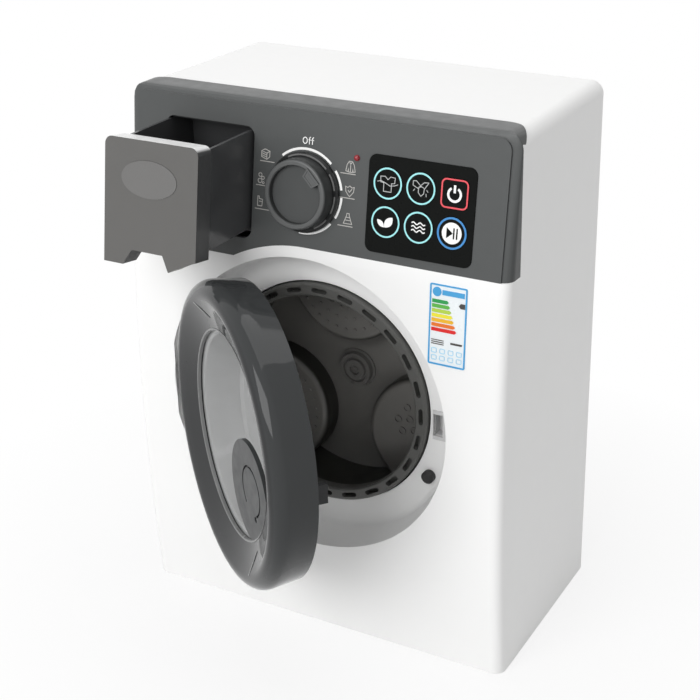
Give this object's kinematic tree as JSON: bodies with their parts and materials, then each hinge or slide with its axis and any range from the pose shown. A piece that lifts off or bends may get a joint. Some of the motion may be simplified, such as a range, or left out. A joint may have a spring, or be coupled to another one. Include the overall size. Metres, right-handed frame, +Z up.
{
  "type": "toy washing machine",
  "caption": "Front-loading toy washing machine for a child: round hinged door with a clear bowl, geared turning drum, pull-out powder drawer, turning dial and push keys.",
  "frame": {"origin": "centre of the cabinet's underside", "axes": "+Z up, the door faces -Y, +X to the right as one looks at the door from the front"},
  "size_m": [0.217, 0.22, 0.286],
  "materials": {
    "shell_white": "glossy",
    "panel_grey": "satin",
    "key_black": "glossy",
    "key_red": "glossy",
    "key_blue": "glossy",
    "trim_dark": "satin",
    "lamp_red": "clear red",
    "inner_dark": "matt",
    "board_green": "matt",
    "inner_light": "matt",
    "bronze": "plain",
    "steel": "plain",
    "cell_wrap": "glossy",
    "cone_black": "matt",
    "bumper_rubber": "matt",
    "sheet_print": "printed sheet",
    "drum_grey": "satin",
    "gear_nylon": "plain",
    "door_grey": "glossy",
    "window_clear": "clear, grey tint",
    "drawer_grey": "satin"
  },
  "bodies": {
    "body": {"front_shell": "shell_white", "rear_shell": "shell_white", "console_panel": "panel_grey", "key_plate": "key_black", "dial_skirt": "trim_dark", "led_lens": "lamp_red", "drawer_sleeve": "inner_dark", "circuit_board": "board_green", "key_switches": "inner_dark", "dial_switch": "inner_dark", "drum_carrier": "inner_light", "drum_bush": "bronze", "motor": "steel", "motor_clip": "inner_dark", "gear_screws": "steel", "battery_box": "inner_dark", "batteries": "cell_wrap", "battery_contacts": "steel", "battery_door": "shell_white", "battery_screw": "steel", "speaker": "cone_black", "speaker_ring": "inner_dark", "hinge_bracket": "inner_dark", "hinge_pin": "steel", "hinge_screws": "steel", "latch_keeper": "inner_light", "door_bumper": "bumper_rubber", "case_screws": "steel", "energy_label": "sheet_print"},
    "drum": {"drum_ring": "drum_grey", "drum_shell": "drum_grey", "drum_lifters": "drum_grey", "drum_hub": "drum_grey", "drum_shaft": "steel", "shaft_clip": "steel", "drum_gear": "gear_nylon"},
    "pinion": {"motor_pinion": "gear_nylon", "motor_shaft": "steel"},
    "door": {"door_outer_ring": "door_grey", "door_inner_ring": "door_grey", "door_window": "window_clear", "handle_disc": "door_grey", "latch_hook": "inner_dark", "door_screws": "steel"},
    "drawer": {"drawer_front": "drawer_grey", "drawer_tray": "drawer_grey", "drawer_badge": "drawer_grey"},
    "knob": {"knob_cap": "trim_dark", "knob_disc": "trim_dark", "knob_shaft": "steel", "knob_pointer": "trim_dark"},
    "key_shirt": {"key_shirt": "key_black"},
    "key_wring": {"key_wring": "key_black"},
    "key_power": {"key_power": "key_red"},
    "key_leaf": {"key_leaf": "key_black"},
    "key_wave": {"key_wave": "key_black"},
    "key_play": {"key_play": "key_blue"}
  },
  "joints": [
    {"name": "door_hinge", "type": "hinge", "parent": "body", "child": "door", "pos_m": [-0.0754, -0.0606, 0.1315], "axis": [0, 0, -1], "range_deg": [-38, 46]},
    {"name": "drawer_slide", "type": "slide", "parent": "body", "child": "drawer", "axis": [0, -1, 0], "range_m": [-0.0374, 0.012]},
    {"name": "drum_spin", "type": "hinge", "parent": "body", "child": "drum", "pos_m": [-0.002, 0, 0.1315], "axis": [0, 1, 0], "continuous": true},
    {"name": "pinion_spin", "type": "hinge", "parent": "body", "child": "pinion", "pos_m": [-0.002, 0, 0.09625], "axis": [0, 1, 0], "continuous": true},
    {"name": "knob_turn", "type": "hinge", "parent": "body", "child": "knob", "pos_m": [-0.003, -0.05497, 0.2443], "axis": [0, 0.989, -0.1478], "range_deg": [-45, 270]},
    {"name": "key_shirt_press", "type": "slide", "parent": "body", "child": "key_shirt", "axis": [0, 0.989, -0.1478], "range_m": [0, 0.0008], "stiffness_N_per_m": 600},
    {"name": "key_wring_press", "type": "slide", "parent": "body", "child": "key_wring", "axis": [0, 0.989, -0.1478], "range_m": [0, 0.0008], "stiffness_N_per_m": 600},
    {"name": "key_power_press", "type": "slide", "parent": "body", "child": "key_power", "axis": [0, 0.989, -0.1478], "range_m": [0, 0.0008], "stiffness_N_per_m": 600},
    {"name": "key_leaf_press", "type": "slide", "parent": "body", "child": "key_leaf", "axis": [0, 0.989, -0.1478], "range_m": [0, 0.0008], "stiffness_N_per_m": 600},
    {"name": "key_wave_press", "type": "slide", "parent": "body", "child": "key_wave", "axis": [0, 0.989, -0.1478], "range_m": [0, 0.0008], "stiffness_N_per_m": 600},
    {"name": "key_play_press", "type": "slide", "parent": "body", "child": "key_play", "axis": [0, 0.989, -0.1478], "range_m": [0, 0.0008], "stiffness_N_per_m": 600}
  ],
  "couplings": [
    {"joint": "pinion_spin", "follows": "drum_spin", "ratio": -6}
  ]
}
